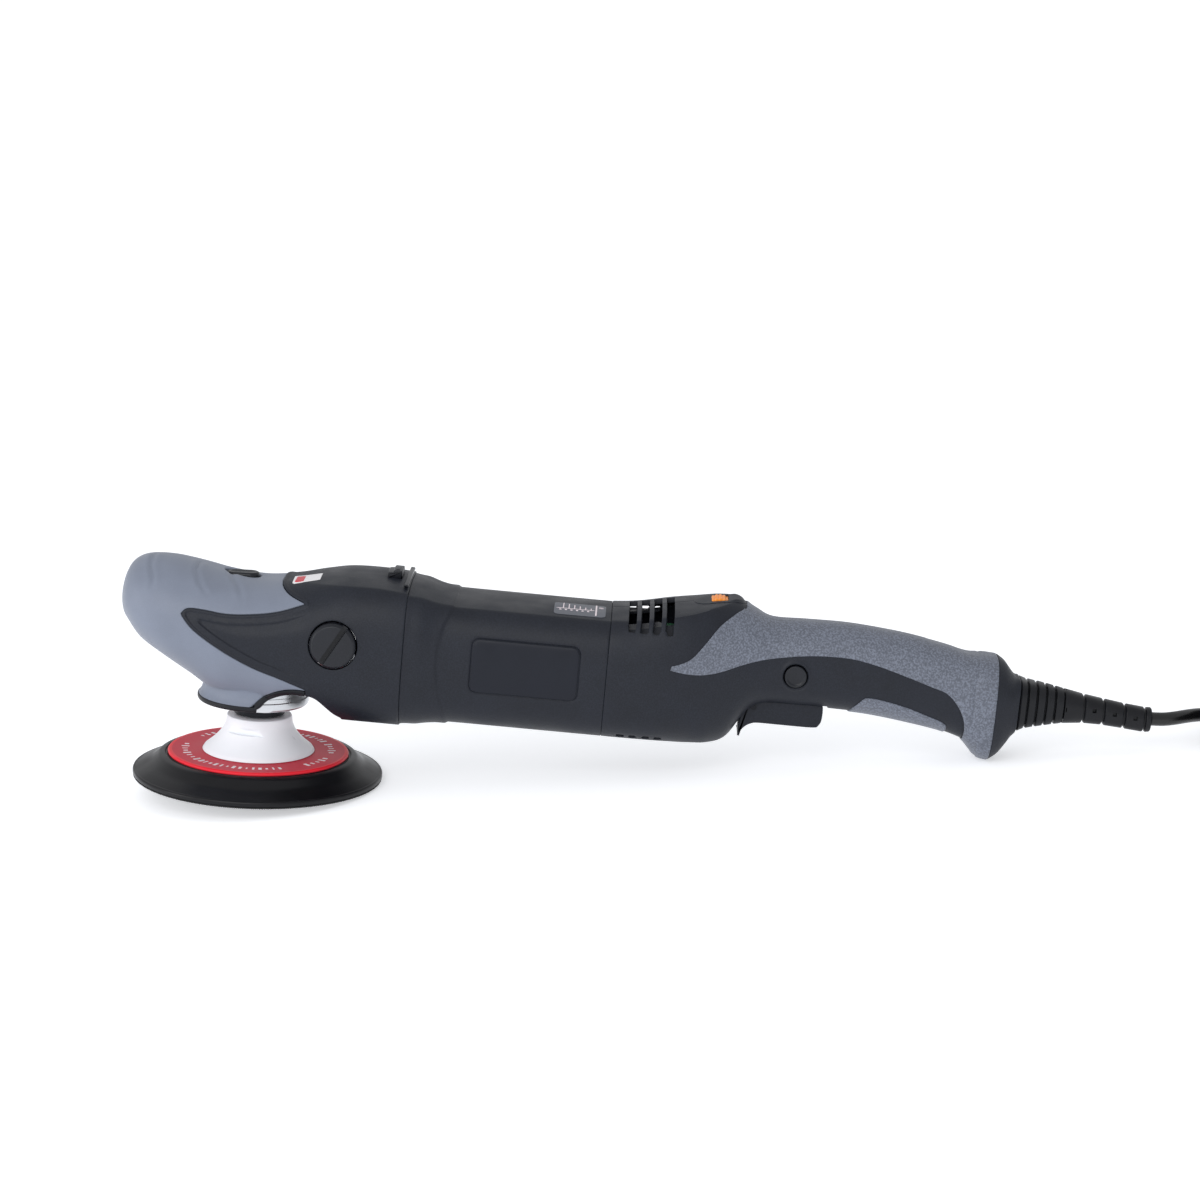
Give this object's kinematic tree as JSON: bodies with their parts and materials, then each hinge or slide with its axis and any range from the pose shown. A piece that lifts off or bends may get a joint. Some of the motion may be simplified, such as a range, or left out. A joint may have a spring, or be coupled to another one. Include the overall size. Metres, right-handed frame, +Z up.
{
  "type": "rotary polisher",
  "caption": "Corded rotary polisher: soft hood over a bevel gear head, motor barrel, trigger handle, hook-and-loop backing plate and coiled mains cord.",
  "frame": {"origin": "on the floor, under the middle of the tool's box (without its cord), with the tool at rest on its backing plate and its handle foot", "axes": "+X from the hood towards the handle and cord, +Z up, -Y the side with the lock-on button"},
  "size_m": [0.6522, 0.125, 0.1222],
  "materials": {
    "soft_grey": "satin moulded soft grip with a fine grain",
    "grip_grey": "matt moulded soft grip with a speckled grain",
    "black_casing": "moulded glass-filled nylon with a fine spark grain",
    "black_gloss": "smooth moulded plastic",
    "black_rubber": "moulded rubber, slightly worn",
    "white_plastic": "smooth moulded nylon",
    "red_disc": "coated fibre disc",
    "hook_tape": "woven hook tape",
    "cast_aluminium": "die cast and machined",
    "steel": "ground steel",
    "gear_steel": "hardened steel with an oil film",
    "copper": "enamelled winding wire",
    "lamination": "stacked electrical sheet",
    "brass": "pressed brass",
    "carbon": "pressed carbon",
    "orange_plastic": "moulded plastic",
    "circuit_green": "potted circuit board",
    "label_dark": "printed label",
    "label_light": "printed label",
    "sticker": "plain printed sticker",
    "cord_black": "smooth rubber sheath"
  },
  "bodies": {
    "casing": {"front_hood": "soft_grey", "gear_cover": "black_casing", "skirt_trim": "black_rubber", "cover_latch": "black_gloss", "side_handle_plugs": "black_gloss", "gear_housing": "cast_aluminium", "neck_collar": "cast_aluminium", "gear_case_screws": "steel", "lock_spring": "steel", "spindle_bearing_lower": "steel", "spindle_bearing_upper": "steel", "armature_bearing_front": "steel", "armature_bearing_rear": "steel", "air_baffle": "black_casing", "stator_core": "lamination", "field_coils": "copper", "motor_housing": "black_casing", "brush_holders": "brass", "brushes": "carbon", "brush_springs": "steel", "name_plate": "label_dark", "speed_label": "label_light", "hood_sticker": "sticker", "rear_housing_left": "black_casing", "rear_housing_right": "black_casing", "handle_screws": "steel", "rear_grip": "grip_grey", "grip_inlay": "grip_grey", "dial_bezel": "black_gloss", "control_board": "circuit_green", "switch_body": "black_gloss", "trigger_pin": "steel", "trigger_spring": "steel", "lock_on_spring": "steel", "end_cap": "black_casing", "cable_clamp": "black_gloss", "strain_relief": "black_rubber", "cord": "cord_black", "cord_coil": "cord_black", "cord_tie": "black_gloss", "plug_body": "black_rubber", "plug_pins": "steel"},
    "spindle": {"spindle": "steel", "crown_gear": "gear_steel", "backing_hub": "white_plastic", "hub_insert": "steel", "backing_disc": "red_disc", "backing_pad": "black_rubber", "hook_face": "hook_tape"},
    "armature": {"pinion": "gear_steel", "armature_shaft": "steel", "armature_core": "lamination", "armature_windings": "copper", "commutator": "copper", "fan": "black_casing"},
    "lock_button": {"spindle_lock_button": "black_gloss"},
    "trigger": {"trigger": "black_casing"},
    "lock_on_button": {"lock_on_button": "black_gloss"},
    "speed_dial": {"speed_dial": "orange_plastic"}
  },
  "joints": [
    {"name": "spindle_spin", "type": "hinge", "parent": "casing", "child": "spindle", "pos_m": [-0.18568, 0, 0.07854], "axis": [0.0973, 0, 0.9953], "continuous": true},
    {"name": "armature_spin", "type": "hinge", "parent": "casing", "child": "armature", "pos_m": [-0.18568, 0, 0.07854], "axis": [0.9905, 0, -0.1372], "continuous": true},
    {"name": "lock_press", "type": "slide", "parent": "casing", "child": "lock_button", "axis": [-0.0973, 0, -0.9953], "range_m": [0, 0.0025], "stiffness_N_per_m": 600, "springref_m": -0.001, "deforming": ["lock_spring"]},
    {"name": "trigger_squeeze", "type": "hinge", "parent": "casing", "child": "trigger", "pos_m": [0.0579, 0, 0.03319], "axis": [0, -1, 0], "range_deg": [0, 5], "stiffness_Nm_per_rad": 1.2, "springref_deg": -8.59, "deforming": ["trigger_spring"]},
    {"name": "lock_on_press", "type": "slide", "parent": "casing", "child": "lock_on_button", "axis": [0, 1, 0], "range_m": [0, 0.0018], "stiffness_N_per_m": 500, "springref_m": -0.001, "deforming": ["lock_on_spring"]},
    {"name": "dial_turn", "type": "hinge", "parent": "casing", "child": "speed_dial", "pos_m": [0.04278, 0, 0.08072], "axis": [0, 1, 0], "range_deg": [-135, 135]}
  ],
  "couplings": [
    {"joint": "armature_spin", "follows": "spindle_spin", "ratio": 4}
  ]
}
